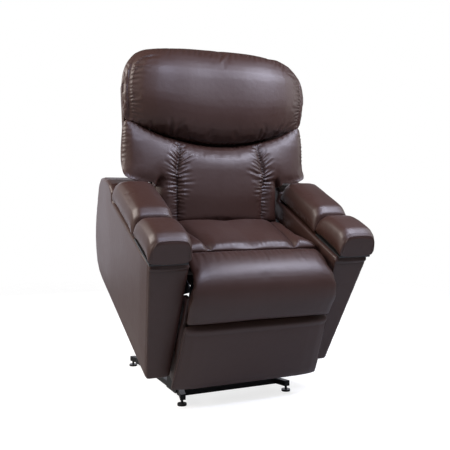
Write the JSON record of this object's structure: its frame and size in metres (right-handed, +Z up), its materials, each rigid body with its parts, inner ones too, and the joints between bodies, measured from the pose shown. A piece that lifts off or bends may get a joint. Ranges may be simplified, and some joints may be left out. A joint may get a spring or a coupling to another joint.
{
  "type": "lift recliner chair",
  "caption": "Powered lift recliner in dark brown leather, raised and tilted forward on a black steel lifting base, with padded arms, a calf bolster and a head pillow.",
  "frame": {"origin": "on the floor, in the middle of the bounding box seen from above", "axes": "+X to the viewer's right in the picture, which is the sitter's left; +Y to the back of the chair; +Z up. Left and right in the names are the viewer's"},
  "size_m": [0.892, 0.9684, 1.3806],
  "materials": {
    "leather": "semi-gloss dark brown leather",
    "black_steel": "satin black powder coat",
    "bright_steel": "zinc plated, dull",
    "plywood": "raw plywood",
    "black_plastic": "matt moulded black"
  },
  "bodies": {
    "base": {"base_front_bar": "black_steel", "base_rear_bar": "black_steel", "base_side_rail_left": "black_steel", "base_side_rail_right": "black_steel", "levelling_foot_front_left": "black_plastic", "levelling_foot_front_right": "black_plastic", "levelling_foot_rear_left": "black_plastic", "levelling_foot_rear_right": "black_plastic", "lift_bracket_left": "black_steel", "lift_bracket_right": "black_steel", "base_pivot_shaft": "bright_steel", "lift_motor_bracket": "black_steel"},
    "lift_frame": {"lift_arm_left": "black_steel", "lift_arm_right": "black_steel", "lift_cross_tube": "black_steel"},
    "guide_links": {"guide_link_left": "black_steel", "guide_link_right": "black_steel"},
    "lift_motor": {"lift_motor": "black_plastic"},
    "lift_rod": {"lift_rod": "bright_steel"},
    "chassis": {"side_plate_left": "black_steel", "side_plate_right": "black_steel", "arm_rail_left": "black_steel", "arm_rail_right": "black_steel", "arm_left": "leather", "arm_right": "leather", "storage_tray_left": "black_plastic", "storage_tray_right": "black_plastic", "arm_pad_left": "leather", "arm_pad_right": "leather", "seat_front_rail": "plywood", "seat_rear_rail": "plywood", "seat_spring_1": "bright_steel", "seat_spring_2": "bright_steel", "seat_spring_3": "bright_steel", "seat_spring_4": "bright_steel", "rear_cross_tube": "black_steel", "recline_anchor_tube": "black_steel", "control_box": "black_plastic", "seat_cushion": "leather"},
    "legrest": {"legrest_board": "plywood", "legrest_hinge_left": "black_steel", "legrest_hinge_right": "black_steel", "bolster": "leather", "foot_panel": "leather"},
    "legrest_motor": {"legrest_motor": "black_plastic"},
    "legrest_rod": {"legrest_rod": "bright_steel"},
    "backrest": {"back_stile_left": "black_steel", "back_stile_right": "black_steel", "back_top_rail": "plywood", "back_lower_rail": "black_steel", "back_shell": "leather", "back_cushion": "leather", "head_pillow": "leather"},
    "recline_motor": {"recline_motor": "black_plastic"},
    "recline_rod": {"recline_rod": "bright_steel"},
    "arm_cap_left": {"arm_cap_left": "leather", "arm_cap_board_left": "black_plastic"},
    "arm_cap_right": {"arm_cap_right": "leather", "arm_cap_board_right": "black_plastic"}
  },
  "joints": [
    {"name": "lift", "type": "hinge", "parent": "base", "child": "lift_frame", "pos_m": [0, -0.12684, 0.1017], "axis": [1, 0, 0], "range_deg": [-43.65, 8.1]},
    {"name": "chair_tilt", "type": "hinge", "parent": "lift_frame", "child": "chassis", "pos_m": [0, 0.16683, 0.3588], "axis": [1, 0, 0], "range_deg": [-3.6, 18.5]},
    {"name": "guide_swing", "type": "hinge", "parent": "base", "child": "guide_links", "pos_m": [0, -0.05684, 0.195], "axis": [1, 0, 0], "range_deg": [-65, 12.2]},
    {"name": "lift_motor_swing", "type": "hinge", "parent": "base", "child": "lift_motor", "pos_m": [0, 0.43316, 0.08], "axis": [1, 0, 0], "range_deg": [-2.85, 14.46]},
    {"name": "lift_stroke", "type": "slide", "parent": "lift_motor", "child": "lift_rod", "axis": [0, -0.8776, 0.4794], "range_m": [-0.1584, 0.0302]},
    {"name": "legrest", "type": "hinge", "parent": "chassis", "child": "legrest", "pos_m": [0, -0.39103, 0.47485], "axis": [-1, 0, 0], "range_deg": [0, 80]},
    {"name": "legrest_motor_swing", "type": "hinge", "parent": "chassis", "child": "legrest_motor", "pos_m": [0.12, 0.11588, 0.47851], "axis": [-1, 0, 0], "range_deg": [-0.2, 6.05]},
    {"name": "legrest_stroke", "type": "slide", "parent": "legrest_motor", "child": "legrest_rod", "axis": [0, -0.9661, -0.2581], "range_m": [-0.001, 0.1655]},
    {"name": "recline", "type": "hinge", "parent": "chassis", "child": "backrest", "pos_m": [0, 0.06295, 0.70785], "axis": [-1, 0, 0], "range_deg": [0, 50]},
    {"name": "recline_motor_swing", "type": "hinge", "parent": "chassis", "child": "recline_motor", "pos_m": [-0.12, 0.23568, 0.43552], "axis": [-1, 0, 0], "range_deg": [-13.05, 0.2]},
    {"name": "recline_stroke", "type": "slide", "parent": "recline_motor", "child": "recline_rod", "axis": [0, -0.2945, 0.9556], "range_m": [-0.05, 0.001]},
    {"name": "arm_cap_left", "type": "slide", "parent": "chassis", "child": "arm_cap_left", "axis": [0, -0.9044, -0.4267], "range_m": [0, 0.15]},
    {"name": "arm_cap_right", "type": "slide", "parent": "chassis", "child": "arm_cap_right", "axis": [0, -0.9044, -0.4267], "range_m": [0, 0.15]}
  ],
  "couplings": [
    {"joint": "chair_tilt", "follows": "lift", "ratio": -0.4213},
    {"joint": "guide_swing", "follows": "lift", "ratio": 1.4855},
    {"joint": "lift_motor_swing", "follows": "lift", "ratio": -0.32664},
    {"joint": "lift_stroke", "follows": "lift", "m_per_rad": 0.20659},
    {"joint": "legrest_motor_swing", "follows": "legrest", "ratio": 0.07315},
    {"joint": "legrest_stroke", "follows": "legrest", "m_per_rad": 0.11778},
    {"joint": "recline_motor_swing", "follows": "recline", "ratio": -0.25691},
    {"joint": "recline_stroke", "follows": "recline", "m_per_rad": -0.0562}
  ]
}
